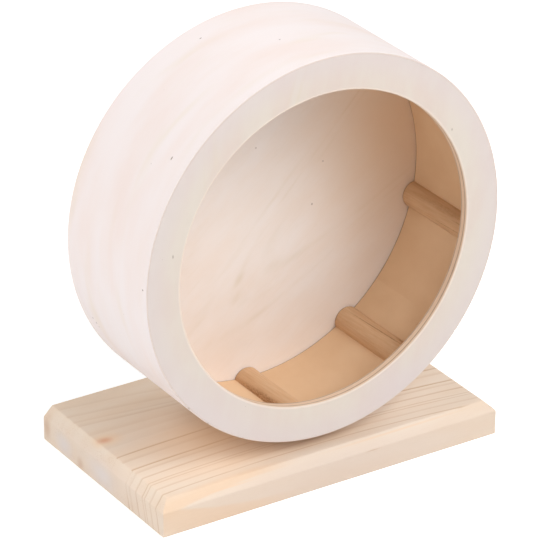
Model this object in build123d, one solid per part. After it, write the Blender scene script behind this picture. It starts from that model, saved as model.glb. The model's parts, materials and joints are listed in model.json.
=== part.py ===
from build123d import *
from math import copysign, sqrt
import os

# Rodent exercise wheel: a plywood drum on a bolt axle in front of a pine stand.
# Millimetres and degrees. +X is right, +Y is back, +Z is up.
# The origin is the middle of the plank's underside. Angles on the drum are
# counted from +X towards +Z, as seen from the front.

# Stand
PLANK_LENGTH = 194.4
PLANK_WIDTH = 115.0
PLANK_THICKNESS = 18.0
PLANK_CHAMFER = 5.0
PLANK_EASING = 0.8
UPRIGHT_WIDTH = 64.0
UPRIGHT_THICKNESS = 18.0
UPRIGHT_EASING = 1.5

# Drum
DRUM_RADIUS = 100.0
DRUM_DEPTH = 73.0
DRUM_SET_BACK = 8.8
DRUM_CLEARANCE = 5.7
RIM_WALL = 3.0
VENEER = 0.6
VENEER_SEAM_GAP = 0.3
VENEER_SEAM_ANGLE = -40.0
RING_THICKNESS = 5.0
MOUTH_RADIUS = 81.5
DISC_THICKNESS = 7.0

# Rungs, set by hand about 40 degrees apart
RUNG_RADIUS = 7.0
RUNG_HEIGHT = 5.6
RUNG_ANGLES = (-12, -55, -92, -131, -172, -211, -252, -292, -331)

# Hub plate and axle bolt
HUB_RADIUS = 30.0
HUB_THICKNESS = 5.0
HUB_GAP = 2.0
BOLT_RADIUS = 3.97
BOLT_HEAD_RADIUS = 10.0
BOLT_HEAD_HEIGHT = 4.4
BOLT_HEAD_CHAMFER = 1.2
BOLT_NECK = 8.0
BOLT_STAND_OUT = 0.8
HEAD_POCKET_GAP = 0.2
NECK_GAP = 0.05
NUT_ACROSS_FLATS = 13.0
NUT_HEX_HEIGHT = 5.3
NUT_COLLAR_HEIGHT = 1.2
NUT_COLLAR_RADIUS = 5.8
SLEEVE_RADIUS = 5.9
WASHER_THICKNESS = 1.0

# Ball bearing, 8 x 22 x 7, pressed into the upright's back
BEARING_BORE_RADIUS = 4.0
BEARING_RADIUS = 11.0
BEARING_WIDTH = 7.0
BEARING_RECESS = 1.0
CLEARANCE_HOLE_RADIUS = 7.5
INNER_LAND_RADIUS = 6.1
OUTER_LAND_RADIUS = 8.9
BALL_RADIUS = 1.985
BALL_COUNT = 7
BALL_CLEARANCE = 0.08
CAGE_WALL = 1.4
CAGE_BACK = 0.5
CAGE_FRONT = 0.6
CAGE_POCKET_GAP = 0.1
CAGE_SIDES = 28
SHIELD_THICKNESS = 0.4
SHIELD_INSET = 0.3
SHIELD_GAP = 0.2

# Wood screws under the plank
SCREW_SPACING = 36.0
SCREW_RADIUS = 2.0
SCREW_HEAD_RADIUS = 4.2
SCREW_HEAD_HEIGHT = 2.6
SCREW_LENGTH = 45.0
SCREW_INSET = 0.5

# Heights and depths that follow from the sizes above
AXLE_HEIGHT = PLANK_THICKNESS + DRUM_CLEARANCE + DRUM_RADIUS
DRUM_FRONT = -PLANK_WIDTH / 2 + DRUM_SET_BACK
DRUM_BACK = DRUM_FRONT + DRUM_DEPTH
CORE_RADIUS = DRUM_RADIUS - VENEER
RUNNING_RADIUS = DRUM_RADIUS - RIM_WALL
RING_BACK = DRUM_FRONT + RING_THICKNESS
DISC_FRONT = DRUM_BACK - DISC_THICKNESS
HUB_BACK = DRUM_BACK + HUB_THICKNESS
UPRIGHT_FRONT = HUB_BACK + HUB_GAP
UPRIGHT_BACK = UPRIGHT_FRONT + UPRIGHT_THICKNESS
BEARING_BACK = UPRIGHT_BACK - BEARING_RECESS
BEARING_FRONT = BEARING_BACK - BEARING_WIDTH
BEARING_MIDDLE = (BEARING_FRONT + BEARING_BACK) / 2
NUT_FRONT = BEARING_BACK + WASHER_THICKNESS
NUT_BACK = NUT_FRONT + NUT_HEX_HEIGHT + NUT_COLLAR_HEIGHT
PITCH_RADIUS = (INNER_LAND_RADIUS + OUTER_LAND_RADIUS) / 2
UPRIGHT_MIDDLE = (UPRIGHT_FRONT + UPRIGHT_BACK) / 2
SCREW_PLACES = (-SCREW_SPACING / 2, SCREW_SPACING / 2)

# How a blank sits on its own origin: standing on it, or hanging from it
LOW = (Align.CENTER, Align.CENTER, Align.MIN)
HIGH = (Align.CENTER, Align.CENTER, Align.MAX)


def on_axle(shape, depth):
    """Turn a shape's own +Z to the back and put it on the axle line, its origin at this depth."""
    return Pos(0, depth, AXLE_HEIGHT) * Rot(X=-90) * shape


def ring(outer, inner, front, back):
    """A flat ring or a tube round the axle line, between two depths."""
    blank = Cylinder(outer, back - front, align=LOW) - Cylinder(inner, back - front, align=LOW)
    return on_axle(blank, front)


def disc(radius, front, back):
    """A plain disc on the axle line, between two depths."""
    return on_axle(Cylinder(radius, back - front, align=LOW), front)


def base_screws():
    """Two countersunk wood screws, driven up from just under flush with the plank's underside."""
    head = Cone(SCREW_HEAD_RADIUS, SCREW_RADIUS, SCREW_HEAD_HEIGHT, align=LOW)
    screw = head + Cylinder(SCREW_RADIUS, SCREW_LENGTH, align=LOW)
    return [Pos(x, UPRIGHT_MIDDLE, SCREW_INSET) * screw for x in SCREW_PLACES]


def base_plank():
    """The pine plank: a broad chamfer along its front and both ends, square along the back."""
    plank = Box(PLANK_LENGTH, PLANK_WIDTH, PLANK_THICKNESS, align=LOW)
    top_edges = plank.faces().sort_by(Axis.Z)[-1].edges()
    front_edge = top_edges.filter_by(Axis.X).sort_by(Axis.Y)[0]
    end_edges = top_edges.filter_by(Axis.Y)
    plank = chamfer([front_edge] + list(end_edges), PLANK_CHAMFER)
    plank = chamfer(plank.edges().filter_by(Axis.Z), PLANK_EASING)
    plank = chamfer(plank.faces().sort_by(Axis.Z)[0].edges(), PLANK_EASING)
    flare = (SCREW_HEAD_RADIUS - SCREW_RADIUS) / SCREW_HEAD_HEIGHT
    countersink_radius = SCREW_HEAD_RADIUS + flare * SCREW_INSET
    countersink = Cone(countersink_radius, SCREW_RADIUS, SCREW_INSET + SCREW_HEAD_HEIGHT, align=LOW)
    hole = countersink + Cylinder(SCREW_RADIUS, PLANK_THICKNESS, align=LOW)
    for x in SCREW_PLACES:
        plank -= Pos(x, UPRIGHT_MIDDLE, 0) * hole
    return plank


def upright():
    """The pine board behind the drum: its round top is struck from the axle, and the bearing sits in it."""
    half = UPRIGHT_WIDTH / 2
    shaft_height = AXLE_HEIGHT - PLANK_THICKNESS
    outline = Rectangle(UPRIGHT_WIDTH, shaft_height, align=(Align.CENTER, Align.MAX)) + Circle(half)
    board = on_axle(Rot(Z=180) * extrude(outline, UPRIGHT_THICKNESS), UPRIGHT_FRONT)
    long_edges = [edge for edge in board.edges() if edge.center().Z > PLANK_THICKNESS + UPRIGHT_EASING]
    board = chamfer(long_edges, UPRIGHT_EASING)
    board -= disc(BEARING_RADIUS, BEARING_FRONT, UPRIGHT_BACK)
    board -= disc(CLEARANCE_HOLE_RADIUS, UPRIGHT_FRONT, BEARING_FRONT)
    pilot_hole = Cylinder(SCREW_RADIUS, SCREW_INSET + SCREW_LENGTH, align=LOW)
    for x in SCREW_PLACES:
        board -= Pos(x, UPRIGHT_MIDDLE, 0) * pilot_hole
    return board


def front_ring():
    """The flat plywood ring round the mouth."""
    return ring(CORE_RADIUS, MOUTH_RADIUS, DRUM_FRONT, RING_BACK)


def rim_hoop():
    """The bent plywood hoop between ring and disc. Its inside is the running surface."""
    return ring(CORE_RADIUS, RUNNING_RADIUS, RING_BACK, DISC_FRONT)


def rim_veneer():
    """The face veneer wrapped round the whole drum, with the fine gap where its ends meet."""
    wrap = ring(DRUM_RADIUS, CORE_RADIUS, DRUM_FRONT, DRUM_BACK)
    gap = Box(2 * VENEER, DRUM_DEPTH, VENEER_SEAM_GAP, align=(Align.CENTER, Align.MIN, Align.CENTER))
    seam = Rot(Y=-VENEER_SEAM_ANGLE) * Pos(DRUM_RADIUS - VENEER / 2, DRUM_FRONT, 0) * gap
    return wrap - Pos(0, 0, AXLE_HEIGHT) * seam


def back_disc():
    """The plywood disc that closes the drum, with a blind pocket in its back for the bolt's head."""
    blank = disc(CORE_RADIUS, DISC_FRONT, DRUM_BACK)
    pocket_depth = BOLT_HEAD_HEIGHT + HEAD_POCKET_GAP
    return blank - disc(BOLT_HEAD_RADIUS + HEAD_POCKET_GAP, DRUM_BACK - pocket_depth, DRUM_BACK)


def rung(angle):
    """One half-round strip across the running surface, its underside bedded on the hoop's curve."""
    strip_axis = RUNNING_RADIUS - RUNG_HEIGHT + RUNG_RADIUS
    length = DISC_FRONT - RING_BACK
    strip = Pos(strip_axis, 0, 0) * Cylinder(RUNG_RADIUS, length, align=LOW)
    strip &= Cylinder(RUNNING_RADIUS, length, align=LOW)
    return on_axle(Rot(Z=-angle) * strip, RING_BACK)


def hub_plate():
    """The round plywood plate behind the disc, with a square hole that keys the bolt's neck."""
    hole = extrude(Rectangle(BOLT_NECK + 2 * NECK_GAP, BOLT_NECK + 2 * NECK_GAP), HUB_THICKNESS)
    return disc(HUB_RADIUS, DRUM_BACK, HUB_BACK) - on_axle(hole, DRUM_BACK)


def axle_bolt():
    """The coach bolt: low round head in the disc, square neck in the hub plate, round shank to the nut."""
    head = Cylinder(BOLT_HEAD_RADIUS, BOLT_HEAD_HEIGHT, align=HIGH)
    head = chamfer(head.edges().sort_by(Axis.Z)[0], BOLT_HEAD_CHAMFER)
    neck = extrude(Rectangle(BOLT_NECK, BOLT_NECK), HUB_THICKNESS)
    shank_length = NUT_BACK + BOLT_STAND_OUT - DRUM_BACK
    shank = Cylinder(BOLT_RADIUS, shank_length, align=LOW)
    return on_axle(head + neck + shank, DRUM_BACK)


def lock_nut():
    """The self-locking nut behind the upright: a hexagon with a round collar."""
    hexagon = extrude(RegularPolygon(NUT_ACROSS_FLATS / 2, 6, major_radius=False), NUT_HEX_HEIGHT)
    collar_length = NUT_HEX_HEIGHT + NUT_COLLAR_HEIGHT
    nut = hexagon + Cylinder(NUT_COLLAR_RADIUS, collar_length, align=LOW)
    nut -= Cylinder(BOLT_RADIUS, collar_length, align=LOW)
    return on_axle(nut, NUT_FRONT)


def race(wall_radius, land_radius):
    """A bearing race turned from one profile, with a groove that just clears the balls."""
    half = BEARING_WIDTH / 2
    reach = BALL_RADIUS + BALL_CLEARANCE
    land_distance = land_radius - PITCH_RADIUS
    floor_radius = PITCH_RADIUS + copysign(reach, land_distance)
    half_groove = sqrt(reach**2 - land_distance**2)
    outline = Polyline(
        (wall_radius, -half),
        (wall_radius, half),
        (land_radius, half),
        (land_radius, half_groove),
        (floor_radius, half_groove),
        (floor_radius, -half_groove),
        (land_radius, -half_groove),
        (land_radius, -half),
        close=True,
    )
    return on_axle(revolve(Plane.XZ * make_face(outline), Axis.Z), BEARING_MIDDLE)


def bearing_shield():
    """The thin ring that closes the bearing's back, held by the outer race and clear of the inner one."""
    back = BEARING_BACK - SHIELD_INSET
    return ring(OUTER_LAND_RADIUS, INNER_LAND_RADIUS + SHIELD_GAP, back - SHIELD_THICKNESS, back)


def bearing_balls():
    """The seven balls, evenly spaced in the grooves. Each is hidden, so flat faces between 26 points do."""
    points = [(0, 0, -BALL_RADIUS), (0, 0, BALL_RADIUS)]
    for latitude in (-45, 0, 45):
        rim = Vector(BALL_RADIUS, 0, 0).rotate(Axis.Y, latitude)
        points += [rim.rotate(Axis.Z, longitude) for longitude in range(0, 360, 45)]
    ball = Pos(PITCH_RADIUS, 0, 0) * ConvexPolyhedron(points)
    return [on_axle(Rot(Z=360 * i / BALL_COUNT) * ball, BEARING_MIDDLE) for i in range(BALL_COUNT)]


def bearing_cage():
    """The crown cage: a thin back ring whose fingers stand between the balls."""
    pocket = 2 * (BALL_RADIUS + CAGE_POCKET_GAP)
    height = pocket / 2 + CAGE_BACK + CAGE_FRONT
    section = RegularPolygon(PITCH_RADIUS + CAGE_WALL / 2, CAGE_SIDES)
    section -= RegularPolygon(PITCH_RADIUS - CAGE_WALL / 2, CAGE_SIDES)
    crown = Pos(0, 0, -pocket / 2 - CAGE_BACK) * extrude(section, height)
    for i in range(BALL_COUNT):
        crown -= Rot(Z=360 * i / BALL_COUNT) * Pos(PITCH_RADIUS, 0, 0) * Box(pocket, pocket, pocket)
    return on_axle(crown, BEARING_MIDDLE)


def write(name, shape):
    """Write one piece, or a group of like pieces, under its node name."""
    solids = shape if isinstance(shape, list) else [shape]
    export_step(Compound(children=[Part(solid.solids()) for solid in solids]), f"parts/{name}.step")


os.makedirs("parts", exist_ok=True)

write("base_plank", base_plank())
write("upright", upright())
write("base_screws", base_screws())

write("front_ring", front_ring())
write("rim_hoop", rim_hoop())
write("rim_veneer", rim_veneer())
write("back_disc", back_disc())
for number, angle in enumerate(RUNG_ANGLES, start=1):
    write(f"rung_{number}", rung(angle))

write("hub_plate", hub_plate())
write("axle_bolt", axle_bolt())
write("spacer_sleeve", ring(SLEEVE_RADIUS, BOLT_RADIUS, HUB_BACK, BEARING_FRONT))
write("end_washer", ring(SLEEVE_RADIUS, BOLT_RADIUS, BEARING_BACK, NUT_FRONT))
write("lock_nut", lock_nut())

write("bearing_outer_race", race(BEARING_RADIUS, OUTER_LAND_RADIUS))
write("bearing_inner_race", race(BEARING_BORE_RADIUS, INNER_LAND_RADIUS))
write("bearing_shield", bearing_shield())
write("bearing_balls", bearing_balls())
write("bearing_cage", bearing_cage())
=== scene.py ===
import json
from math import asin, atan2, cos, hypot, pi, radians, sin, sqrt, tan

import bmesh
import bpy
from mathutils import Matrix, Vector, noise


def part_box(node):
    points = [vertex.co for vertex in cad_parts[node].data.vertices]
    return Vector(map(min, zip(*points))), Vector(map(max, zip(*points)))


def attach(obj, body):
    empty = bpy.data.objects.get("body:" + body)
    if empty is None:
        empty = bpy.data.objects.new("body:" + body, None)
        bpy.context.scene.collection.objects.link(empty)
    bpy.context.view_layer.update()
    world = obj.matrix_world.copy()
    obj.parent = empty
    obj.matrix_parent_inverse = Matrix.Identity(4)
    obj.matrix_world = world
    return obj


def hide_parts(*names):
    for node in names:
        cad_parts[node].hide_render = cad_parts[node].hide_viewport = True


# Looks of a rodent exercise wheel: a veneered plywood drum on a bolt, in front of a pine stand.
# Metres. +X is right, +Y is back, +Z is up. Angles on the drum are counted from +X towards +Z,
# as seen from the front. Inside the finishes, lengths are in millimetres.

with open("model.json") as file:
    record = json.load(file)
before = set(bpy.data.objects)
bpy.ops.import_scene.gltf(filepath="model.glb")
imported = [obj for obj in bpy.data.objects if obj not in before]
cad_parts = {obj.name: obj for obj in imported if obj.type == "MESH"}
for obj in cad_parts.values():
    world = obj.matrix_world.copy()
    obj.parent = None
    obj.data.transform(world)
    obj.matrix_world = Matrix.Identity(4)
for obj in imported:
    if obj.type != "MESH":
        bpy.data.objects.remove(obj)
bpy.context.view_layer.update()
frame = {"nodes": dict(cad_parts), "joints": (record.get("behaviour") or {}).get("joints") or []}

MM = 0.001
AXLE = Vector(frame["joints"][0]["pos_m"])

# A turned shape has its own X to the right, Y up and Z to the back of the drum
ON_AXLE = Matrix(((1, 0, 0, AXLE.x), (0, 0, 1, 0), (0, 1, 0, AXLE.z), (0, 0, 0, 1)))

# How far edges are eased
BOARD_EASING = 0.6 * MM
UPRIGHT_EASING = 1.5 * MM
MOUTH_EASING = 0.7 * MM
JOINT_EASING = 0.35 * MM
VENEER_EASING = 0.2 * MM
METAL_EASING = 0.25 * MM

# Nicks in the veneer's front edge: angle and half width in degrees, depth
VENEER_NICKS = (
    (-140.6, 0.5, 0.5 * MM),
    (-131.8, 0.4, 0.4 * MM),
    (-118.0, 0.3, 0.3 * MM),
    (12.0, 0.3, 0.3 * MM),
    (161.0, 0.3, 0.25 * MM),
)

# The veneer's seam: its angle on the drum and its gap
SEAM = radians(-40)
SEAM_GAP = 0.3 * MM

# Wood
PLANK_CHAMFER = 5 * MM
RUNG_RADIUS = 7 * MM
RUNG_WOBBLE = 0.1 * MM
RUNG_END_EASING = 0.45 * MM

# Axle bolt and nut
THREAD_PITCH = 1.25 * MM
THREAD_DEPTH = 0.6 * MM
THREAD_LENGTH = 22 * MM
HEAD_EDGE = 0.9 * MM
HEAD_GAP = 0.2 * MM
SHOULDER = 0.3 * MM

# Wood screws
SCREW_HEAD_HEIGHT = 2.6 * MM
SCREW_NECK = 2.0 * MM
SCREW_NECK_LENGTH = 6 * MM
SCREW_CORE = 1.45 * MM
SCREW_PITCH = 1.8 * MM
SCREW_THREAD_DEPTH = 0.55 * MM
SCREW_POINT = 6 * MM
CROSS_WIDTH = 0.9 * MM
CROSS_REACH = 2.3 * MM
CROSS_DEPTH = 1.6 * MM

# Bearing
BALL_COUNT = 7
GROOVE_ROOM = 0.08 * MM
POCKET_ROOM = 0.1 * MM

# Points closer than this are one, a bend beyond this angle stays sharp, and steps of an eased corner
SAME_PLACE = 1e-7
SHARP_BEND = radians(32)
CORNER_STEPS = 4

# Arc lengths round the drum are measured at this radius, in millimetres
ARC_RADIUS = 100.0

# Camera
LENS = 255.46
CAMERA_PLACE = (-0.90844, -1.40963, 0.92876)
CAMERA_YAW = radians(32.783)
CAMERA_PITCH = radians(26.496)
CAMERA_ROLL = radians(0.337)

# Studio: the lamps' names, angles to the side and up in degrees, and powers
LAMPS = (
    ("left_lamp", -105, 40, 20.5),
    ("low_left_lamp", -70, 14, 4),
    ("front_lamp", 0, 40, 12),
    ("front_right_lamp", 35, 40, 19),
    ("right_lamp", 110, 40, 7),
)
LAMP_DISTANCE = 2
LAMP_SIZE = 1.2
LAMP_AIM = Vector((0, 0, 0.1))
FLOOR_HALF = 1.6
FLOOR_GLOW = 0.42
SKY_LIGHT = 0.23


def depths(node):
    """The front and the back of a node."""
    low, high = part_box(node)
    return low.y, high.y


def radii(node):
    """The least and the greatest distance of a node's points from the axle line."""
    points = frame["nodes"][node].data.vertices
    distances = [hypot(v.co.x - AXLE.x, v.co.z - AXLE.z) for v in points]
    return min(distances), max(distances)


# Shapes


def add_object(name, data):
    """A new object in the scene."""
    thing = bpy.data.objects.new(name, data)
    bpy.context.scene.collection.objects.link(thing)
    return thing


def clean_mesh(name, points, faces):
    """A mesh with the points that share a place joined and its faces turned outward."""
    mesh = bpy.data.meshes.new(name)
    mesh.from_pydata([tuple(point) for point in points], [], faces)
    shape = bmesh.new()
    shape.from_mesh(mesh)
    bmesh.ops.remove_doubles(shape, verts=shape.verts, dist=SAME_PLACE)
    bmesh.ops.recalc_face_normals(shape, faces=shape.faces)
    shape.to_mesh(mesh)
    shape.free()
    return mesh


def dress(name, mesh, finish, body):
    """Turn a mesh into a piece that rides on a body."""
    mesh.materials.clear()
    mesh.materials.append(finish)
    mesh.shade_smooth()
    mesh.set_sharp_from_angle(angle=SHARP_BEND)
    piece = add_object(name, mesh)
    piece.modifiers.new("flat faces stay flat", "WEIGHTED_NORMAL").keep_sharp = True
    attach(piece, body)
    return piece


def stand_in(node, mesh, finish, body):
    """Turn a mesh into the piece that takes a node's name and place."""
    piece = dress(node, mesh, finish, body)
    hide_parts(node)


def make(node, shape, finish, body):
    """The piece for a node, from a shape's points and faces."""
    stand_in(node, clean_mesh(node, *shape), finish, body)


def rounded(corners):
    """An outline whose corners (across, along, easing) are eased to arcs."""
    outline = []
    for i, (across, along, easing) in enumerate(corners):
        here = Vector((across, along))
        if not easing:
            outline.append(here)
            continue
        before = (Vector(corners[i - 1][:2]) - here).normalized()
        after = (Vector(corners[(i + 1) % len(corners)][:2]) - here).normalized()
        half = before.angle(after) / 2
        centre = here + (before + after).normalized() * easing / sin(half)
        first = here + before * easing / tan(half) - centre
        last = here + after * easing / tan(half) - centre
        turn = atan2(first.x * last.y - first.y * last.x, first.dot(last))
        for share in between(0, turn, CORNER_STEPS + 1):
            outline.append(centre + Matrix.Rotation(share, 2) @ first)
    return outline


def spread(count):
    """Angles evenly spaced round a whole turn."""
    return [2 * pi * i / count for i in range(count)]


def between(first, last, count):
    """Numbers evenly spaced from the first to the last."""
    return [first + (last - first) * i / (count - 1) for i in range(count)]


def skin(rings, size, whole):
    """Faces between rings of points. A row of rings that doesn't close gets a cap at each end."""
    faces = []
    for i in range(rings if whole else rings - 1):
        here = i * size
        there = (i + 1) % rings * size
        for j in range(size):
            k = (j + 1) % size
            faces.append((here + j, here + k, there + k, there + j))
    if not whole:
        faces.append(tuple(range(size)))
        faces.append(tuple(range((rings - 1) * size, rings * size)))
    return faces


def turned(outline_at, angles, place=ON_AXLE, whole=True):
    """Points and faces of a closed outline of (radius, height) that is carried round an axis."""
    points = []
    for angle in angles:
        outline = outline_at(angle)
        for radius, height in outline:
            points.append(place @ Vector((radius * cos(angle), radius * sin(angle), height)))
    return points, skin(len(angles), len(outline), whole)


def revolved(outline, count, place=ON_AXLE):
    """Points and faces of one outline that is the same all the way round."""
    return turned(lambda angle: outline, spread(count), place)


def ring_outline(node, easings):
    """The section of a plain ring in its node's place, its corners eased from the front inner one on."""
    inner, outer = radii(node)
    front, back = depths(node)
    corners = ((inner, front), (outer, front), (outer, back), (inner, back))
    return rounded([(*corner, easing) for corner, easing in zip(corners, easings)])


def ring_piece(node, finish, easings, count=96):
    """A plain turned ring or tube of the drum."""
    make(node, revolved(ring_outline(node, easings), count), finish, "drum")


def merge(*shapes):
    """Points and faces of several shapes as one."""
    points = []
    faces = []
    for more_points, more_faces in shapes:
        start = len(points)
        points += more_points
        faces += [tuple(start + index for index in face) for face in more_faces]
    return points, faces


# Node graphs


class Field:
    """A value that varies over a surface. Arithmetic on it adds math nodes."""

    def __init__(self, finish, socket):
        self.finish = finish
        self.socket = socket

    def __add__(self, other):
        return self.finish.math("ADD", self, other)

    __radd__ = __add__

    def __sub__(self, other):
        return self.finish.math("SUBTRACT", self, other)

    def __rsub__(self, other):
        return self.finish.math("SUBTRACT", other, self)

    def __mul__(self, other):
        return self.finish.math("MULTIPLY", self, other)

    __rmul__ = __mul__

    def __truediv__(self, other):
        return self.finish.math("DIVIDE", self, other)

    def __abs__(self):
        return self.finish.math("ABSOLUTE", self)


class Finish:
    """A material under construction, with its nodes reached through short names.

    What shows is a base colour, and each tint goes over what was there before it.
    """

    def __init__(self, name, base, **constants):
        self.material = bpy.data.materials.new(name)
        self.material.use_nodes = True
        self.tree = self.material.node_tree
        self.shader = self.tree.nodes["Principled BSDF"]
        self.shown = base
        self.shader.inputs["Base Color"].default_value = base
        for socket, value in constants.items():
            self.shader.inputs[socket.replace("_", " ")].default_value = value

    def node(self, kind, **settings):
        made = self.tree.nodes.new(kind)
        for setting, value in settings.items():
            setattr(made, setting, value)
        return made

    def feed(self, socket, value):
        """Give a socket a field, or else a constant."""
        if isinstance(value, Field):
            self.tree.links.new(value.socket, socket)
        else:
            socket.default_value = value

    def math(self, operation, *values):
        made = self.node("ShaderNodeMath", operation=operation)
        for socket, value in zip(made.inputs, values):
            self.feed(socket, value)
        return Field(self, made.outputs[0])

    def length(self, *parts):
        return self.math("SQRT", sum(part * part for part in parts))

    def coordinates(self, output):
        """Three fields of a texture coordinate."""
        parts = self.node("ShaderNodeSeparateXYZ")
        source = self.node("ShaderNodeTexCoord")
        self.tree.links.new(source.outputs[output], parts.inputs[0])
        return [Field(self, socket) for socket in parts.outputs]

    def place(self):
        """Where a point is on the resting object, in millimetres."""
        return [part / MM for part in self.coordinates("Object")]

    def facing(self):
        """Which way the surface looks on the resting object."""
        return self.coordinates("Normal")

    def pattern(self, kind, sizes, place, shift, **settings):
        """A texture over a place, with features of the given sizes."""
        point = self.node("ShaderNodeCombineXYZ")
        for socket, part, size in zip(point.inputs, place, sizes):
            self.feed(socket, part / size + shift)
        made = self.node(kind)
        self.tree.links.new(point.outputs[0], made.inputs["Vector"])
        for socket, value in {"Scale": 1.0, **settings}.items():
            made.inputs[socket].default_value = value
        return made

    def noise(self, sizes, place, detail=3.0, roughness=0.5, shift=0.0):
        """Soft noise about 0, mostly within half of 1, with patches of the given sizes."""
        made = self.pattern("ShaderNodeTexNoise", sizes, place, shift, Detail=detail, Roughness=roughness)
        return Field(self, made.outputs[0]) - 0.5

    def step(self, value, low, high):
        """0 below low, 1 above high, smooth between."""
        made = self.node("ShaderNodeMapRange", interpolation_type="SMOOTHSTEP")
        self.feed(made.inputs["Value"], value)
        self.feed(made.inputs["From Min"], low)
        self.feed(made.inputs["From Max"], high)
        return Field(self, made.outputs["Result"])

    def line(self, value, centre, half_width):
        """1 at the centre, falling to 0 at half a width from it."""
        return 1 - self.step(abs(value - centre), 0.0, half_width)

    def spot(self, place, centre, half, softness=1.0):
        """1 in the middle of an ellipse or ellipsoid, falling to 0 at its edge."""
        parts = [(part - middle) / size for part, middle, size in zip(place, centre, half)]
        return 1 - self.step(self.length(*parts), 1 - softness, 1.0)

    def dots(self, size, place, radius, rarity, shift):
        """Small round dots of a radius, one to a cell at most, and only in the rarer cells."""
        made = self.pattern("ShaderNodeTexVoronoi", (size,) * 3, place, shift)
        parts = self.node("ShaderNodeSeparateColor")
        self.tree.links.new(made.outputs["Color"], parts.inputs[0])
        near = 1 - self.step(Field(self, made.outputs["Distance"]), radius / size * 0.5, radius / size)
        rare = self.step(Field(self, parts.outputs[0]), rarity, rarity + 0.02)
        return near * rare

    def mix(self, share, first, second):
        made = self.node("ShaderNodeMix", data_type="RGBA")
        self.feed(made.inputs["Factor"], share)
        self.feed(made.inputs[6], first)
        self.feed(made.inputs[7], second)
        return Field(self, made.outputs[2])

    def tint(self, share, shade):
        """Lay a shade over what shows, by a share from 0 to 1."""
        self.shown = self.mix(share, self.shown, shade)

    def done(self, roughness, height=None, relief=0.0):
        """The material, with its roughness and a relief of about that many millimetres."""
        self.feed(self.shader.inputs["Base Color"], self.shown)
        self.feed(self.shader.inputs["Roughness"], roughness)
        if height is not None:
            made = self.node("ShaderNodeBump")
            made.inputs["Strength"].default_value = 1.0
            made.inputs["Distance"].default_value = relief * MM
            self.feed(made.inputs["Height"], height)
            self.tree.links.new(made.outputs[0], self.shader.inputs["Normal"])
        return self.material


def srgb(red, green, blue):
    """A colour from its values as seen on a screen, from 0 to 255."""
    values = []
    for value in (red, green, blue):
        share = value / 255
        values.append(share / 12.92 if share <= 0.04045 else ((share + 0.055) / 1.055) ** 2.4)
    return (*values, 1.0)


# Finishes

WOOD = {"Roughness": 0.6, "Specular_IOR_Level": 0.35}

PINE_PALE = srgb(233, 217, 200)
PINE_MIDDLE = srgb(229, 204, 179)
PINE_ORANGE = srgb(234, 196, 156)
PINE_DARK = srgb(188, 146, 98)
PINE_KNOT = srgb(214, 152, 122)
PINE_GREY = srgb(222, 212, 208)
PINE_BROWN = srgb(202, 166, 138)
PINE_ROSE = srgb(218, 198, 184)

# Lines of late wood across a board, from its back to its front: distance, width and strength
GROWTH_LINES = (
    (-50.5, 1.0, 0.15),
    (-41.5, 1.0, 0.2),
    (-35.0, 0.8, 0.15),
    (-30.5, 1.0, 0.25),
    (-20.0, 1.5, 0.15),
    (-12.0, 2.0, 0.12),
    (-4.0, 2.0, 0.12),
    (6.8, 0.5, 0.8),
    (12.5, 1.0, 0.25),
    (21.2, 0.5, 0.8),
    (24.7, 0.8, 0.3),
    (30.5, 0.5, 0.55),
    (36.3, 0.3, 0.55),
    (38.4, 0.3, 0.5),
    (43.5, 0.6, 0.3),
    (48.8, 0.35, 0.6),
)

# Marks on the plank, as soft spots: middle, half sizes, colour and strength. One of them is painted
# shade.
PLANK_MARKS_AND_SHADE = (
    ((0, -65, 9), (150, 22, 26), PINE_ROSE, 0.85),
    ((-107, 0, 9), (20, 85, 26), PINE_ROSE, 0.85),
    ((-88, 12, 18), (13, 9, 4), PINE_ORANGE, 0.6),
    ((-88.5, 12, 18), (6, 4, 3), PINE_KNOT, 0.65),
    ((-97, 37, 6.5), (5, 12, 9), PINE_GREY, 0.8),
    ((-97, 0, 7), (5, 18, 10), PINE_GREY, 0.8),
    ((-96, 54, 8), (5, 6, 10), PINE_BROWN, 0.7),
    ((-96, 21, 3), (4, 5, 6), PINE_BROWN, 0.7),
    ((-58, -55.2, 15.3), (20, 1.0, 0.8), PINE_ORANGE, 0.4),
    ((40, -53.6, 16.8), (60, 1.1, 0.8), PINE_ORANGE, 0.4),
    ((23, -57.5, 12.4), (7, 2, 0.5), PINE_DARK, 0.4),
    # Painted shade: a warm orange over the top near the drum, where the drum's shade falls
    ((-15, -12, 18), (75, 45, 4), PINE_ORANGE, 0.8),
)

# Where the plank's cut end is open and speckled: middle and half sizes
PLANK_PORES = (((-97, 42, 12), (5, 9, 7)), ((-95, 5, 14), (6, 8, 6)))

# A knot low on the upright's back
UPRIGHT_MARKS = (
    ((14, 49.3, 62), (9, 4, 12), PINE_ORANGE, 0.5),
    ((14, 49.3, 62), (2.6, 3, 3.6), PINE_KNOT, 0.8),
)


def late_wood(finish, distance):
    """Growth lines. Each comes up slowly from the back and ends at once."""
    total = 0.0
    for middle, width, strength in GROWTH_LINES:
        rise = finish.step(distance, middle - 3 * width, middle)
        fall = finish.step(distance, middle, middle + 0.8 * width)
        total = total + rise * (1 - fall) * strength
    return total


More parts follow.
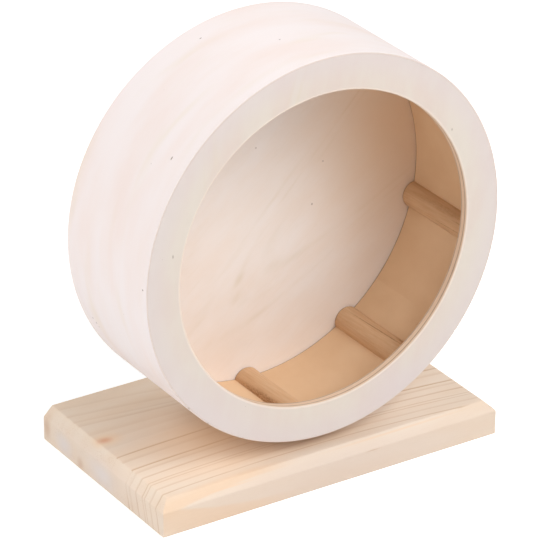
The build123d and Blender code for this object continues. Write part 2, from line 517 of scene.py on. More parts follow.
def pine(name, axes, start, marks, open_pores, shift):
    """Planed pine with leaning growth lines that spread along the board, fibres and its own marks. On the
    plank, one of these marks is painted shade on its top near the drum.

    The axes are those along, across and through the board. The growth lines count from the start.
    """
    finish = Finish(name, PINE_PALE, **WOOD)
    place = finish.place()
    facing = finish.facing()
    board = [place[axis] - first for axis, first in zip(axes, start)]
    along, across, through = board
    wander = finish.noise((90, 40, 40), board, 2, 0.5, shift) * 1.6
    ripple = finish.noise((26, 6, 6), board, 3, 0.55, shift + 7) * 0.8
    bend = along * 0.08 - along * along * 0.0006 - finish.step(across, 5.0, 35.0) * along * 0.2
    distance = bend + through * 0.27 - across + wander + ripple
    # On a cut end the lines show in front only, and on the narrow sides not far along
    cut_end = finish.step(abs(facing[axes[0]]), 0.45, 0.7)
    edge = finish.step(abs(facing[axes[1]]), 0.5, 0.7)
    hidden = cut_end * finish.step(across, -27.0, -21.0) * 0.9 + edge * finish.step(along, 90.0, 130.0)
    patches = finish.noise((60, 16, 16), board, 2, 0.5, shift + 3)
    finish.tint(finish.step(patches, -0.3, 0.35) * 0.8, PINE_MIDDLE)
    late_zone = finish.step(distance, 50.0, 55.5) * (1 - finish.step(distance, 56.0, 56.6))
    late_zone = late_zone * (1 - finish.step(along, 45.0, 80.0)) * (1 - cut_end)
    finish.tint(late_zone * 0.55, PINE_ORANGE)
    fading = 0.8 + finish.noise((30, 8, 8), board, 2, 0.5, shift + 29)
    finish.tint(late_wood(finish, distance) * (1 - hidden) * fading, PINE_DARK)
    fibres = finish.noise((8, 0.35, 0.35), board, 4, 0.65, shift + 11)
    finish.tint(finish.step(fibres, 0.0, 0.35) * 0.2, PINE_DARK)
    speckle = finish.noise((0.5, 1.0, 0.5), board, 2, 0.7, shift + 23)
    pores = finish.step(finish.noise((9, 9, 9), board, 1, 0.5, shift + 37), -0.15, 0.2) * 0.5
    for middle, half in open_pores:
        pores = finish.math("MAXIMUM", pores, finish.spot(place, middle, half))
    pores = pores * cut_end
    finish.tint(pores * finish.step(speckle, 0.02, 0.25) * 0.6, PINE_DARK)
    finish.tint(pores * finish.step(0 - speckle, 0.02, 0.2) * 0.8, PINE_PALE)
    # Marks, and on the plank a patch of painted shade near the drum
    for middle, half, shade, strength in marks:
        finish.tint(finish.spot(place, middle, half) * strength, shade)
    return finish.done(0.58 + fibres * 0.2, fibres + speckle * cut_end, 0.1)


RING_PALE = srgb(220, 210, 198)
RING_WARM = srgb(218, 201, 191)
RING_GREY = srgb(217, 205, 205)
# A pale line painted as a highlight along the ring's mouth edge
RING_ARRIS_HIGHLIGHT = srgb(243, 225, 209)
DISC_PALE = srgb(248, 240, 235)
DISC_WARM = srgb(246, 234, 225)
# A warm tan, painted on the disc as shade
DISC_PAINTED_SHADE = srgb(238, 198, 154)
POPLAR_STREAK = srgb(216, 200, 168)
POPLAR_CORE = srgb(238, 214, 190)
POPLAR_DARK = srgb(214, 182, 154)
GLUE_LINE = srgb(102, 66, 44)
SPECK = srgb(112, 84, 62)

# Marks and specks on plywood, seen from the front: x and z from the axle, half sizes, colour, strength.
# The disc's broad tan patch is painted shade.
RING_MARKS = (
    ((-62, -66), (55, 40), RING_GREY, 0.3),
    ((40, -82), (26, 16), RING_GREY, 0.4),
    ((-85.4, 19.0), (0.6, 1.5), SPECK, 0.7),
    ((71.4, 46.1), (0.6, 1.1), SPECK, 0.6),
    ((68.6, 42.8), (0.5, 0.7), SPECK, 0.6),
)
DISC_MARKS_AND_SHADE = (
    # Painted shade: a warm tan over the right of the disc, where the rim shades it
    ((88, 24), (84, 104), DISC_PAINTED_SHADE, 0.72),
    ((35.0, -11.0), (0.7, 0.9), SPECK, 0.7),
    ((2.0, 27.5), (0.6, 0.7), SPECK, 0.6),
    ((41.2, 10.9), (0.6, 0.7), SPECK, 0.6),
)

# The ring turns greyer between these distances from the axle
GREY_REACH = (84.0, 98.0)


def drum_place(finish):
    """Where a point is on the resting drum, in millimetres, with x and z from the axle."""
    x, y, z = finish.place()
    return x - AXLE.x / MM, y, z - AXLE.z / MM


def figure(finish, along, across, apex, shift):
    """Faint arched streaks of a peeled veneer, nested round an apex."""
    place = (along, across, across)
    aside = across - apex[1]
    bend = finish.noise((60, 25, 25), place, 2, 0.5, shift) * 14
    arch = along - apex[0] + bend - aside * aside * 0.118
    strength = finish.step(finish.noise((40, 12, 12), place, 2, 0.5, shift + 5), -0.15, 0.3)
    main = finish.line(arch, 0.0, 7.0)
    second = finish.line(arch, 26.0, 9.0) * 0.6
    third = finish.line(arch, -30.0, 11.0) * 0.7
    return (main + second + third) * strength


def plies(finish, place, node, shift):
    """The colour of plywood's cut edge: its core, and the glue next to its two faces."""
    front, back = depths(node)
    grain = finish.noise((6, 0.25, 6), place, 3, 0.6, shift)
    core = finish.mix(finish.step(grain, -0.2, 0.3) * 0.6, POPLAR_CORE, POPLAR_DARK)
    front_glue = finish.line(place[1], front / MM + 1.5, 0.45)
    back_glue = finish.line(place[1], back / MM - 0.7, 0.4)
    return finish.mix((front_glue + back_glue) * 0.6, core, GLUE_LINE)


def poplar(name, node, pale, warm, grain, apex, marks, veil_and_highlight, joint, shift):
    """Plywood with pale peeled faces, its plies and glue lines in the cut edges.

    The grain is an angle, and the apex of its figure lies along and across it. The veil is how far
    the face greys towards the rim and how strong the painted highlight along its inner arris is. The
    joint is how dark the glue at the rim is.
    """
    finish = Finish(name, pale, **WOOD)
    place = drum_place(finish)
    x, y, z = place
    facing = finish.facing()[1]
    along = x * cos(grain) + z * sin(grain)
    across = z * cos(grain) - x * sin(grain)
    grained = (along, across, y)
    patches = finish.noise((34, 14, 14), grained, 3, 0.5, shift + 2)
    finish.tint(finish.step(patches, -0.25, 0.3), warm)
    finish.tint(figure(finish, along, across, apex, shift) * 0.38, POPLAR_STREAK)
    fibres = finish.noise((9, 0.5, 0.5), grained, 4, 0.6, shift + 9)
    finish.tint(finish.step(fibres, 0.0, 0.35) * 0.16, POPLAR_STREAK)
    in_front = finish.step(0 - facing, 0.2, 0.6)
    # Marks on the front faces. The disc's broad tan one is painted shade.
    for middle, half, shade, strength in marks:
        finish.tint(finish.spot((x, z), middle, half) * in_front * strength, shade)
    finish.tint(finish.dots(9.0, place, 0.3, 0.85, shift) * 0.45, SPECK)
    inner, outer = (reach / MM for reach in radii(node))
    radius = finish.length(x, z)
    finish.tint(finish.step(radius, *GREY_REACH) * veil_and_highlight, RING_GREY)
    # Painted highlight along the ring's inner arris
    finish.tint(finish.line(radius, inner + 0.5, 1.0) * veil_and_highlight, RING_ARRIS_HIGHLIGHT)
    finish.tint(finish.step(radius, outer - 0.5, outer) * joint, GLUE_LINE)
    edge = 1 - finish.step(abs(facing), 0.3, 0.6)
    finish.tint(edge, plies(finish, place, node, shift + 13))
    return finish.done(0.6 + fibres * 0.15, fibres, 0.04)


HOOP_PALE = srgb(238, 206, 170)
HOOP_WARM = srgb(229, 193, 154)
HOOP_JOINT = srgb(86, 50, 30)


def wrapped(finish, seam):
    """Arc length round the axle from opposite a seam, depth, and distance from the axle."""
    x, y, z = drum_place(finish)
    middle = seam - pi
    ahead = x * cos(middle) + z * sin(middle)
    aside = z * cos(middle) - x * sin(middle)
    return finish.math("ARCTAN2", aside, ahead) * ARC_RADIUS, y, finish.length(x, z)


def joints(finish, depth, front_width, back_width):
    """The dark joints where the running surface meets the ring and the disc."""
    front, back = depths("rim_hoop")
    return finish.line(depth, front / MM, front_width) + finish.line(depth, back / MM, back_width)


def bent_ply(name, shift):
    """The tan inside of a bent plywood hoop, its grain across the run, dark along its joints."""
    finish = Finish(name, HOOP_PALE, **WOOD)
    place = wrapped(finish, SEAM)
    patches = finish.noise((22, 30, 30), place, 3, 0.5, shift)
    finish.tint(finish.step(patches, -0.3, 0.3), HOOP_WARM)
    fibres = finish.noise((0.5, 12, 12), place, 4, 0.6, shift + 5)
    finish.tint(finish.step(fibres, 0.0, 0.35) * 0.3, HOOP_WARM)
    finish.tint(joints(finish, place[1], 0.6, 0.8) * 0.9, HOOP_JOINT)
    return finish.done(0.55 + fibres * 0.15, fibres, 0.04)


VENEER_PALE = srgb(240, 230, 228)
VENEER_WARM = srgb(238, 222, 216)
VENEER_STREAK = srgb(230, 214, 190)

# Specks on the drum's side: angle in degrees, depth and half sizes along and across the run
SIDE_SPECKS = (
    (141.3, -36.0, 1.3, 0.6),
    (108.8, 12.7, 0.9, 0.45),
    (94.4, -18.2, 0.7, 0.4),
    (177.6, -45.4, 0.6, 0.7),
    (202.6, 14.6, 0.8, 0.5),
    (204.0, 13.0, 0.6, 0.8),
    (205.2, 12.0, 0.5, 0.5),
    (219.4, -48.2, 1.4, 0.7),
    (228.2, -48.2, 1.1, 0.6),
    (242.0, -48.2, 0.9, 0.5),
)


def face_veneer(name, shift):
    """Pale peeled veneer wrapped round the drum, its grain along the run, with a few dark specks."""
    finish = Finish(name, VENEER_PALE, **WOOD)
    place = wrapped(finish, SEAM)
    arc, depth = place[:2]
    patches = finish.noise((70, 20, 20), place, 3, 0.5, shift)
    finish.tint(finish.step(patches, -0.2, 0.3), VENEER_WARM)
    wander = finish.noise((60, 22, 22), place, 2, 0.5, shift + 3) * 30
    contour = finish.math("FRACT", (depth + wander) / 17.0)
    strength = finish.step(finish.noise((55, 14, 14), place, 2, 0.5, shift + 6), -0.05, 0.3)
    finish.tint(finish.line(contour, 0.5, 0.34) * strength * 0.4, VENEER_STREAK)
    fibres = finish.noise((9, 0.45, 0.45), place, 4, 0.6, shift + 9)
    finish.tint(finish.step(fibres, 0.05, 0.35) * 0.15, VENEER_STREAK)
    specks = finish.dots(11.0, place, 0.3, 0.86, shift) * 0.6
    for angle, middle, half_along, half_across in SIDE_SPECKS:
        turn = (radians(angle) - SEAM) % (2 * pi) - pi
        speck = finish.spot((arc, depth), (turn * ARC_RADIUS, middle), (half_along, half_across), 0.7)
        specks = finish.math("MAXIMUM", specks, speck)
    finish.tint(specks * 0.8, SPECK)
    finish.tint(finish.step(abs(finish.facing()[1]), 0.5, 0.8) * 0.8, RING_WARM)
    return finish.done(0.58 + fibres * 0.15, fibres, 0.03)


RUNG_PALE = srgb(223, 188, 151)
RUNG_MIDDLE = srgb(208, 167, 127)
RUNG_DARK = srgb(150, 104, 64)

# Dark figure on the strips: angle and depth of its middle, half sizes round and along, strength
RUNG_MARKS = (
    (-96.2, -8.0, 2.4, 40.0, 1.0),
    (-53.2, -14.0, 0.6, 36.0, 1.0),
    (-52.0, -32.0, 1.6, 12.0, 0.8),
    (-9.6, -14.0, 2.2, 34.0, 0.3),
    (-8.9, -36.0, 0.9, 8.0, 0.8),
    (-11.2, -33.0, 0.5, 12.0, 0.7),
    (-14.0, -26.0, 0.5, 26.0, 0.7),
    (-15.2, -14.0, 0.5, 26.0, 0.4),
)


def rung_wood(name, shift):
    """Tan wood of the half-round strips, with fine grain along them and dark ends."""
    finish = Finish(name, RUNG_PALE, **WOOD)
    # Arc lengths here start at the bottom of the drum
    arc, depth, radius = wrapped(finish, pi / 2)
    slant = arc + depth * 0.04
    place = (slant, depth, radius)
    grain = finish.noise((0.9, 16, 0.9), place, 4, 0.6, shift)
    finish.tint(finish.step(grain, -0.3, 0.35), RUNG_MIDDLE)
    stipple = finish.noise((0.6, 1.5, 0.6), place, 3, 0.6, shift + 5)
    finish.tint(finish.step(stipple, 0.05, 0.35) * 0.2, RUNG_DARK)
    broken = finish.step(stipple, -0.25, 0.2) * 0.7 + 0.15
    for angle, middle, half_across, half_along, strength in RUNG_MARKS:
        centre = (radians(angle + 90) * ARC_RADIUS, middle)
        mark = finish.spot((slant, depth), centre, (half_across, half_along), 0.8)
        finish.tint(mark * broken * strength, RUNG_DARK)
    finish.tint(joints(finish, depth, 0.6, 0.9) * 0.9, HOOP_JOINT)
    return finish.done(0.6 + grain * 0.2, grain + stipple * 0.5, 0.1)


def steel(name, colour, roughness, mottle):
    """Bare or plated steel with fine turning marks and faint mottling."""
    finish = Finish(name, colour, Metallic=1.0)
    place = finish.place()
    cloud = finish.noise((3, 3, 3), place)
    marks = finish.noise((0.12, 0.12, 0.12), place, 2, 0.5, 4)
    darker = tuple(part * (1 - mottle) for part in colour[:3]) + (1.0,)
    finish.tint(finish.step(cloud, -0.25, 0.25), darker)
    return finish.done(roughness + cloud * 0.15, marks, 0.01)


def nylon(name):
    """The nut's milky insert."""
    finish = Finish(name, srgb(226, 224, 214), Specular_IOR_Level=0.5)
    cloud = finish.noise((1.5, 1.5, 1.5), finish.place(), 2)
    finish.tint(finish.step(cloud, -0.3, 0.3), srgb(208, 205, 192))
    return finish.done(0.42 + cloud * 0.2)


# Stand


def countersunk(mesh, cutters):
    """The mesh with turned holes taken out of it."""
    helpers = [add_object("blank", mesh)]
    for points, faces in cutters:
        cutter = add_object("cutter", clean_mesh("cutter", points, faces))
        helpers[0].modifiers.new("hole", "BOOLEAN").object = cutter
        helpers.append(cutter)
    ready = helpers[0].evaluated_get(bpy.context.evaluated_depsgraph_get())
    result = bpy.data.meshes.new_from_object(ready)
    for helper in helpers:
        bpy.data.objects.remove(helper)
    return result


def screw_places():
    """Where the two screws stand, from the node that holds both."""
    low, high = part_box("base_screws")
    radius = (high.y - low.y) / 2
    middle = (low.y + high.y) / 2
    return [Vector((x, middle, low.z)) for x in (low.x + radius, high.x - radius)]


def screw_hole():
    """Outline of a countersunk hole from below the plank up into it, as (radius, height)."""
    below, sink, depth = -1 * MM, 3.1 * MM, 25 * MM
    head, shank = 4.7 * MM, 2.1 * MM
    return [(0, below), (head, below), (head, 0), (shank, sink), (shank, depth), (0, depth)]


def base_plank(finish):
    """The pine plank with its broad chamfer, every edge eased, and two countersunk holes below."""
    low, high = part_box("base_plank")
    # The chamfer leaves out the back
    points = []
    for height, inset in ((low.z, 0), (high.z - PLANK_CHAMFER, 0), (high.z, PLANK_CHAMFER)):
        points += [
            (low.x + inset, low.y + inset, height),
            (high.x - inset, low.y + inset, height),
            (high.x - inset, high.y, height),
            (low.x + inset, high.y, height),
        ]
    mesh = clean_mesh("base_plank", points, skin(3, 4, whole=False))
    shape = bmesh.new()
    shape.from_mesh(mesh)
    bmesh.ops.dissolve_limit(shape, angle_limit=radians(1), verts=shape.verts, edges=shape.edges)
    bmesh.ops.bevel(
        shape,
        geom=shape.edges[:],
        offset=BOARD_EASING,
        segments=3,
        profile=0.5,
        affect="EDGES",
        clamp_overlap=True,
    )
    shape.to_mesh(mesh)
    shape.free()
    cutters = []
    for spot in screw_places():
        cutters.append(revolved(screw_hole(), 48, Matrix.Translation((spot.x, spot.y, low.z))))
    stand_in("base_plank", countersunk(mesh, cutters), finish, "stand")


def upright(finish):
    """The pine board behind the drum, round at the top about the axle, with its stepped bore."""
    low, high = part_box("upright")
    half = (high.x - low.x) / 2
    foot = AXLE.z - low.z
    bore = radii("bearing_outer_race")[1]
    clearance = radii("upright")[0]
    seat = depths("bearing_outer_race")[0]
    corner = atan2(foot, half)
    middle = UPRIGHT_EASING * (1 - sqrt(0.5))
    easing = ((UPRIGHT_EASING, 0), (middle, middle), (0, UPRIGHT_EASING))

    def reach(angle, inset):
        """Distance from the axle to the board's outline, drawn in by an inset."""
        if sin(angle) >= 0:
            return half - inset
        return min((half - inset) / abs(cos(angle)), foot / -sin(angle))

    def outline(angle):
        return [
            *[(reach(angle, inset), low.y + depth) for inset, depth in easing],
            *[(reach(angle, inset), high.y - depth) for inset, depth in reversed(easing)],
            (bore + SHOULDER, high.y),
            (bore, high.y - SHOULDER),
            (bore, seat),
            (clearance, seat),
            (clearance, low.y + SHOULDER),
            (clearance + SHOULDER, low.y),
        ]

    angles = [angle % (2 * pi) for angle in (*spread(180), -corner, corner - pi)]
    make("upright", turned(outline, sorted(angles)), finish, "stand")


def base_screws(finish):
    """Two wood screws: countersunk head with a cross recess, and a tapering thread."""
    low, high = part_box("base_screws")
    head_radius = (high.y - low.y) / 2
    length = high.z - low.z
    start = SCREW_HEAD_HEIGHT + SCREW_NECK_LENGTH
    head_rings = 21
    thread_rings = 160

    def recess(radius, angle):
        """How deep the cross is at a place on the head."""
        x, y = abs(radius * cos(angle)), abs(radius * sin(angle))
        wall = min(1, max(0, (CROSS_WIDTH / 2 - min(x, y)) / (0.15 * MM)))
        slope = min(1, max(0, (CROSS_REACH - max(x, y)) / (0.9 * MM)))
        return CROSS_DEPTH * wall * slope

    def outline(angle):
        rows = [(0, CROSS_DEPTH)]
        for i in range(1, head_rings + 1):
            radius = (head_radius - 0.3 * MM) * i / head_rings
            rows.append((radius, recess(radius, angle)))
        rows += [(head_radius, 0.1 * MM), (head_radius, 0.25 * MM)]
        rows += [(SCREW_NECK, SCREW_HEAD_HEIGHT), (SCREW_NECK, start)]
        for height in between(start, length - 0.4 * MM, thread_rings + 1):
            phase = (height / SCREW_PITCH - angle / (2 * pi)) % 1
            ridge = max(0, 1 - abs(phase - 0.5) * 4)
            taper = min(1, (length - height) / SCREW_POINT)
            rows.append(((SCREW_CORE + SCREW_THREAD_DEPTH * ridge) * taper, height))
        return rows + [(0, length)]

    shapes = [turned(outline, spread(64), Matrix.Translation(spot)) for spot in screw_places()]
    make("base_screws", merge(*shapes), finish, "stand")


# Drum


def front_ring(finish):
    """The flat ring round the mouth, its mouth edge rubbed smooth."""
    outline = ring_outline("front_ring", (MOUTH_EASING, 0.1 * MM, 0, 0.4 * MM))
    middle = sum(radii("front_ring")) / 2

    def sawn(angle):
        """The mouth wanders a little, as a hand-guided saw leaves it."""
        drift = 0.18 * MM * noise.noise(Vector((cos(angle), sin(angle), 3)) * 2.2)
        return [(r + drift if r < middle else r, depth) for r, depth in outline]

    make("front_ring", turned(sawn, spread(360)), finish, "drum")


def rim_veneer(finish):
    """The thin veneer round the drum, with a seam, eased edges and a few nicks."""
    outline = ring_outline("rim_veneer", (0.1 * MM, VENEER_EASING, VENEER_EASING, 0.1 * MM))
    middle = sum(depths("rim_veneer")) / 2
    half_gap = SEAM_GAP / 2 / radii("rim_veneer")[1]

    def nick(angle):
        depth = 0
        for centre, half_width, most in VENEER_NICKS:
            away = abs((angle - radians(centre) + pi) % (2 * pi) - pi)
            depth += most * max(0, 1 - away / radians(half_width))
        return depth

    def worn(angle):
        bite = nick(angle)
        return [(r, depth + bite if depth < middle else depth) for r, depth in outline]

    angles = between(SEAM + half_gap, SEAM + 2 * pi - half_gap, 1440)
    make("rim_veneer", turned(worn, angles, whole=False), finish, "drum")


def back_disc(finish):
    """The disc that closes the drum, with the pocket for the bolt's head in its back."""
    outer = radii("back_disc")[1]
    front, back = depths("back_disc")
    pocket = radii("axle_bolt")[1] + HEAD_GAP
    bottom = depths("axle_bolt")[0] - HEAD_GAP
    corners = (
        (0, front, 0),
        (outer, front, 0),
        (outer, back, JOINT_EASING),
        (pocket, back, SHOULDER),
        (pocket, bottom, 0),
        (0, bottom, 0),
    )
    make("back_disc", revolved(rounded(corners), 288), finish, "drum")


def rung_section(top, bed):
    """A strip's outline as (outward, aside) from the axle, and half its width on the hoop."""
    centre = top + RUNG_RADIUS
    # Where the round strip meets the hoop's curve
    meet = (bed**2 + centre**2 - RUNG_RADIUS**2) / (2 * centre)
    half = sqrt(bed**2 - meet**2)
    start = atan2(half, meet - centre)
    section = []
    for angle in between(start, 2 * pi - start, 25):
        section.append((centre + RUNG_RADIUS * cos(angle), RUNG_RADIUS * sin(angle)))
    bed_angle = asin(half / bed)
    for angle in between(-bed_angle, bed_angle, 13)[1:-1]:
        section.append((bed * cos(angle), bed * sin(angle)))
    return section, half


def rung(node, finish):
    """One half-round strip, its underside bedded on the hoop, its ends slightly eased."""
    vertices = frame["nodes"][node].data.vertices
    middle = sum((v.co for v in vertices), Vector()) / len(vertices) - AXLE
    turn = atan2(middle.z, middle.x)
    top, bed = radii(node)
    front, back = depths(node)
    section, half = rung_section(top, bed)
    length = back - front
    near_end = (0.0, 0.15 * MM, RUNG_END_EASING)
    stations = [*near_end, *between(0, length, 25)[1:-1]]
    stations += [length - along for along in reversed(near_end)]
    number = int(node.split("_")[1])
    points = []
    for along in stations:
        shrink = max(0, 1 - min(along, length - along) / RUNG_END_EASING) ** 2 * 0.35 * MM
        for out, aside in section:
            wobble = RUNG_WOBBLE * noise.noise(Vector((along * 60, aside * 300, number)))
            lift = (bed - out) / (bed - top)
            out += (shrink + wobble + RUNG_WOBBLE) * max(0, lift)
            aside *= 1 - shrink / half
            x = AXLE.x + out * cos(turn) - aside * sin(turn)
            z = AXLE.z + out * sin(turn) + aside * cos(turn)
            points.append((x, front + along, z))
    faces = skin(len(stations), len(section), whole=False)
    make(node, (points, faces), finish, "drum")


def square(angle, half):
    """Distance from the middle to the side of a square."""
    return half / max(abs(cos(angle)), abs(sin(angle)))


def hub_plate(finish):
    """The round plate behind the disc, with the square hole that holds the bolt's neck."""
    outer = radii("hub_plate")[1]
    front, back = depths("hub_plate")
    half_hole = 4.05 * MM
    corners = ((outer, front, 0), (outer, back, 0.8 * MM), (0, back, 0), (0, front, 0))
    edge = rounded(corners)[:-2]

    def outline(angle):
        hole = square(angle, half_hole)
        return edge + [(hole, back), (hole, front)]

    make("hub_plate", turned(outline, spread(192)), finish, "drum")


# Axle


def thread(angle, depth):
    """How deep the bolt's 60 degree thread is cut at a place."""
    phase = (depth / THREAD_PITCH - angle / (2 * pi)) % 1
    return THREAD_DEPTH * min(1, max(0, abs(phase - 0.5) * 2.3 - 0.12))


def axle_bolt(finish):
    """The coach bolt: low domed head, square neck with soft corners, shank and cut thread."""
    start, end = depths("axle_bolt")
    head_back, neck_back = depths("hub_plate")
    head_radius = radii("axle_bolt")[1]
    shank = radii("spacer_sleeve")[0]
    half_neck = 4 * MM
    head_edge = head_back - HEAD_EDGE
    head = []
    for angle in between(0, pi / 2, 15):
        head.append((head_radius * sin(angle), head_edge - (head_edge - start) * cos(angle)))
    head += [(head_radius, head_back - 0.2 * MM), (head_radius - 0.2 * MM, head_back)]
    cuts = between(end - THREAD_LENGTH, end - 0.5 * MM, 151)

    def outline(angle):
        corner = min(square(angle, half_neck), half_neck * 1.3)
        neck = [(corner, head_back), (corner, neck_back - 0.6 * MM), (shank, neck_back)]
        rows = [*head, *neck]
        for i, depth in enumerate(cuts):
            run_in = min(1, i / 10)
            rows.append((shank - thread(angle, depth) * run_in, depth))
        return rows + [(shank - 0.75 * MM, end), (0, end)]

    make("axle_bolt", turned(outline, spread(96)), finish, "drum")


def lock_nut(finish, insert_finish):
    """The hexagon nut with its corners turned off, and the collar crimped over an insert."""
    front, back = depths("lock_nut")
    low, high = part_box("lock_nut")
    width, height = high.x - low.x, high.z - low.z
    flat = min(width, height) / 2
    bore = radii("lock_nut")[0]
    hex_back = back - 1.2 * MM
    turned_off = 0.12 * MM
    collar = 5.8 * MM
    mouth = collar - 0.75 * MM

    def hexagon(angle):
        """Distance to the hexagon's side. The nut lies with a flat to the side where it is narrowest."""
        start = pi / 6 if width < height else pi / 3
        return flat / cos((angle + start) % (pi / 3) - pi / 6)

    def outline(angle):
        corner = hexagon(angle)
        fall = (corner - flat + turned_off) * tan(radians(30))
        return [
            (bore + 0.4 * MM, front),
            (flat - turned_off, front),
            (corner, front + fall),
            (corner, hex_back - fall),
            (flat - turned_off, hex_back),
            (collar + 0.2 * MM, hex_back),
            (collar, hex_back + 0.2 * MM),
            (collar, back - 0.5 * MM),
            (collar - 0.15 * MM, back - 0.15 * MM),
            (collar - 0.5 * MM, back),
            (mouth, back - 0.05 * MM),
            (mouth, back - 0.35 * MM),
            (bore + 0.05 * MM, back - 0.35 * MM),
            (bore, front + 0.4 * MM),
        ]

    make("lock_nut", turned(outline, spread(192)), finish, "drum")
    rim = mouth - 0.05 * MM
    start, end = back - 2 * MM, back - 0.25 * MM
    insert = rounded(((bore, start, 0), (rim, start, 0), (rim, end, 0.1 * MM), (bore, end, 0.3 * MM)))
    dress("lock_nut_insert", clean_mesh("lock_nut_insert", *revolved(insert, 96)), insert_finish, "drum")


# Bearing


def bearing_form():
    """The bearing's middle depth, the radius of the circle its balls run on, and a ball's radius."""
    ball_front, ball_back = depths("bearing_balls")
    track = (radii("bearing_outer_race")[0] + radii("bearing_inner_race")[1]) / 2
    return sum(depths("bearing_outer_race")) / 2, track, (ball_back - ball_front) / 2


def race(node, finish, body):
    """A bearing ring, with the balls' groove in its land, which is the side that faces them."""
    middle, track, ball = bearing_form()
    land, wall = sorted(radii(node), key=lambda radius: abs(radius - track))
    front, back = depths("bearing_outer_race")
    reach = ball + GROOVE_ROOM
    outward = 1 if land > track else -1
    start = asin(sqrt(reach**2 - (land - track) ** 2) / reach)
    groove = []
    for angle in between(-start, start, 13):
        groove.append((track + outward * reach * cos(angle), middle + reach * sin(angle)))
    easing = METAL_EASING
    block = rounded(
        ((wall, back, easing), (wall, front, easing), (land, front, easing / 2), (land, back, easing / 2))
    )
    # The groove goes in before the last corner
    split = len(block) - CORNER_STEPS - 1
    outline = block[:split] + groove + block[split:]
    make(node, revolved(outline, 128), finish, body)


def shield(finish):
    """The pressed steel ring that closes the bearing at the back, with a shallow step over the balls."""
    inner, outer = radii("bearing_shield")
    front, back = depths("bearing_shield")
    track = bearing_form()[1]
    bend = track - 0.5 * MM
    dish = 0.12 * MM
    outline = [
        (inner, front),
        (bend, front),
        (track, front + dish),
        (outer, front + dish),
        (outer, back),
        (track, back),
        (bend, back - dish),
        (inner, back - dish),
    ]
    make("bearing_shield", revolved(outline, 128), finish, "stand")


def balls(finish):
    """The balls, evenly spaced round their track."""
    middle, track, ball = bearing_form()
    arc = [(ball * sin(angle), -ball * cos(angle)) for angle in between(0, pi, 17)]
    shapes = []
    for angle in spread(BALL_COUNT):
        centre = (AXLE.x + track * cos(angle), middle, AXLE.z + track * sin(angle))
        shapes.append(revolved(arc, 32, Matrix.Translation(centre)))
    make("bearing_balls", merge(*shapes), finish, "ball_set")


def cage(finish):
    """The crown cage, whose fingers part for a round pocket at each ball."""
    middle, track, ball = bearing_form()
    front, back = depths("bearing_cage")
    half_wall = 0.65 * MM
    pocket = ball + POCKET_ROOM
    step = 2 * pi / BALL_COUNT

    def wall(angle):
        away = track * ((angle + step / 2) % step - step / 2)
        top = back
        if abs(away) < pocket:
            top = middle - sqrt(pocket**2 - away**2)
        inside, outside = track - half_wall, track + half_wall
        return [(inside, front), (outside, front), (outside, top), (inside, top)]

    make("bearing_cage", turned(wall, spread(BALL_COUNT * 60)), finish, "ball_set")


# Assembly


def build_stand():
    """The plank, the upright and their screws."""
    base_plank(pine("plank_pine", (0, 1, 2), (-92, 0, 18), PLANK_MARKS_AND_SHADE, PLANK_PORES, 0.0))
    upright(pine("upright_pine", (2, 0, 1), (18, -8, 40), UPRIGHT_MARKS, (), 31.0))
    base_screws(steel("screw_zinc", srgb(214, 200, 150), 0.34, 0.18))


def build_drum():
    """The veneered drum with its rungs, and the hub plate on its back."""
    ring_shades = (RING_PALE, RING_WARM, radians(80), (10, 60), RING_MARKS)
    disc_shades = (DISC_PALE, DISC_WARM, radians(38), (-39.939, -35.039), DISC_MARKS_AND_SHADE)
    hub_shades = (DISC_PALE, DISC_WARM, radians(12), (-40, 8), ())
    front_ring(poplar("ring_plywood", "front_ring", *ring_shades, 0.5, 0.08, 41.0))
    hoop_easing = (JOINT_EASING, 0, 0, JOINT_EASING)
    ring_piece("rim_hoop", bent_ply("hoop_plywood", 5.0), hoop_easing, 360)
    rim_veneer(face_veneer("side_veneer", 8.0))
    back_disc(poplar("disc_plywood", "back_disc", *disc_shades, 0.0, 0.9, 2.0))
    rung_finish = rung_wood("rung_wood", 12.0)
    for number in range(1, 10):
        rung(f"rung_{number}", rung_finish)
    hub_plate(poplar("hub_plywood", "hub_plate", *hub_shades, 0.0, 0.2, 63.0))


def build_axle():
    """The bolt with its sleeve, washer and nut."""
    zinc = steel("zinc_plate", srgb(206, 208, 208), 0.32, 0.12)
    tube_easing = (METAL_EASING,) * 4
    axle_bolt(zinc)
    ring_piece("spacer_sleeve", zinc, tube_easing)
    ring_piece("end_washer", zinc, tube_easing)
    lock_nut(zinc, nylon("nut_nylon"))


def build_bearing():
    """The ball bearing: two grooved races, seven balls, their crown cage and one pressed shield."""
    race_steel = steel("race_steel", srgb(196, 197, 198), 0.22, 0.06)
    race("bearing_outer_race", race_steel, "stand")
    race("bearing_inner_race", race_steel, "drum")
    shield(steel("shield_steel", srgb(188, 189, 190), 0.3, 0.08))
    balls(steel("ball_steel", srgb(216, 217, 218), 0.08, 0.03))
    cage(steel("cage_steel", srgb(176, 174, 168), 0.38, 0.1))


# Studio


def seen(tree):
    """1 for rays from the camera, and for what metal and glass show, else 0."""
    path = tree.nodes.new("ShaderNodeLightPath")
    total = path.outputs["Is Camera Ray"]
    for output in ("Is Glossy Ray", "Is Transmission Ray"):
        adder = tree.nodes.new("ShaderNodeMath")
        adder.operation = "MAXIMUM"
        tree.links.new(total, adder.inputs[0])
        tree.links.new(path.outputs[output], adder.inputs[1])
        total = adder.outputs[0]
    return total


def joined(tree, kind, *sources):
    """The output of a new shader node that is fed from the sources in turn."""
    made = tree.nodes.new(kind)
    for source, socket in zip(sources, made.inputs):
        tree.links.new(source, socket)
    return made.outputs[0]


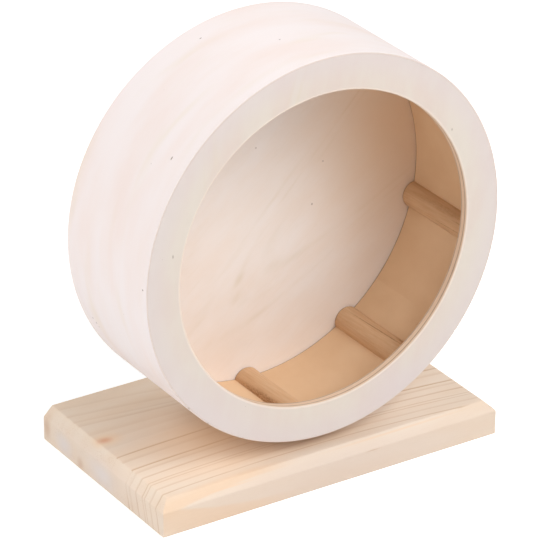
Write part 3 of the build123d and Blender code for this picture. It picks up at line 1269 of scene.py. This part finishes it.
def floor():
    """A broad pale floor that shows white and keeps the object's shadow. From below it can't be seen."""
    mesh = bpy.data.meshes.new("floor")
    signs = ((-1, -1), (1, -1), (1, 1), (-1, 1))
    mesh.from_pydata([(x * FLOOR_HALF, y * FLOOR_HALF, 0) for x, y in signs], [], [(0, 1, 2, 3)])
    finish = Finish("floor_white", (0.86, 0.86, 0.86, 1), Roughness=1.0, Specular_IOR_Level=0.0)
    tree = finish.tree
    plain = finish.shader.outputs[0]
    glow = finish.node("ShaderNodeEmission")
    glow.inputs["Strength"].default_value = FLOOR_GLOW
    lifted = joined(tree, "ShaderNodeAddShader", plain, glow.outputs[0])
    shown = joined(tree, "ShaderNodeMixShader", seen(tree), plain, lifted)
    below = finish.node("ShaderNodeNewGeometry").outputs["Backfacing"]
    clear = finish.node("ShaderNodeBsdfTransparent").outputs[0]
    one_sided = joined(tree, "ShaderNodeMixShader", below, shown, clear)
    tree.links.new(one_sided, tree.nodes["Material Output"].inputs[0])
    mesh.materials.append(finish.material)
    add_object("floor", mesh)


def sky():
    """Even soft light from everywhere, and a white background."""
    world = bpy.data.worlds.new("studio")
    world.use_nodes = True
    tree = world.node_tree
    light = tree.nodes["Background"]
    white = tree.nodes.new("ShaderNodeBackground")
    for background, strength in ((light, SKY_LIGHT), (white, 1.0)):
        background.inputs["Color"].default_value = (1, 1, 1, 1)
        background.inputs["Strength"].default_value = strength
    shown = joined(tree, "ShaderNodeMixShader", seen(tree), light.outputs[0], white.outputs[0])
    tree.links.new(shown, tree.nodes["World Output"].inputs[0])
    bpy.context.scene.world = world


def lamp(name, side, height, power):
    """A soft square lamp. Side and height are angles in degrees from straight in front, right up."""
    side = radians(side)
    height = radians(height)
    direction = Vector((sin(side) * cos(height), -cos(side) * cos(height), sin(height)))
    data = bpy.data.lights.new(name, "AREA")
    data.size = LAMP_SIZE
    data.energy = power
    made = add_object(name, data)
    made.location = direction * LAMP_DISTANCE + LAMP_AIM
    made.rotation_euler = (-direction).to_track_quat("-Z", "Y").to_euler()


def camera():
    """The camera at the photograph's place, turned by yaw, pitch and roll."""
    level = Vector((sin(CAMERA_YAW), cos(CAMERA_YAW), 0))
    ahead = level * cos(CAMERA_PITCH) - Vector((0, 0, sin(CAMERA_PITCH)))
    right = Vector((cos(CAMERA_YAW), -sin(CAMERA_YAW), 0))
    above = right.cross(ahead)
    rolled_right = right * cos(CAMERA_ROLL) + above * sin(CAMERA_ROLL)
    rolled_above = above * cos(CAMERA_ROLL) - right * sin(CAMERA_ROLL)
    data = bpy.data.cameras.new("photo_view")
    data.lens = LENS
    data.sensor_width = 36
    data.clip_end = 100
    view = add_object("photo_view", data)
    rotation = Matrix((rolled_right, rolled_above, -ahead)).transposed().to_4x4()
    view.matrix_world = Matrix.Translation(CAMERA_PLACE) @ rotation
    bpy.context.scene.camera = view


build_stand()
build_drum()
build_axle()
build_bearing()
floor()
sky()
for settings in LAMPS:
    lamp(*settings)
camera()
bpy.context.scene.view_settings.view_transform = "Standard"
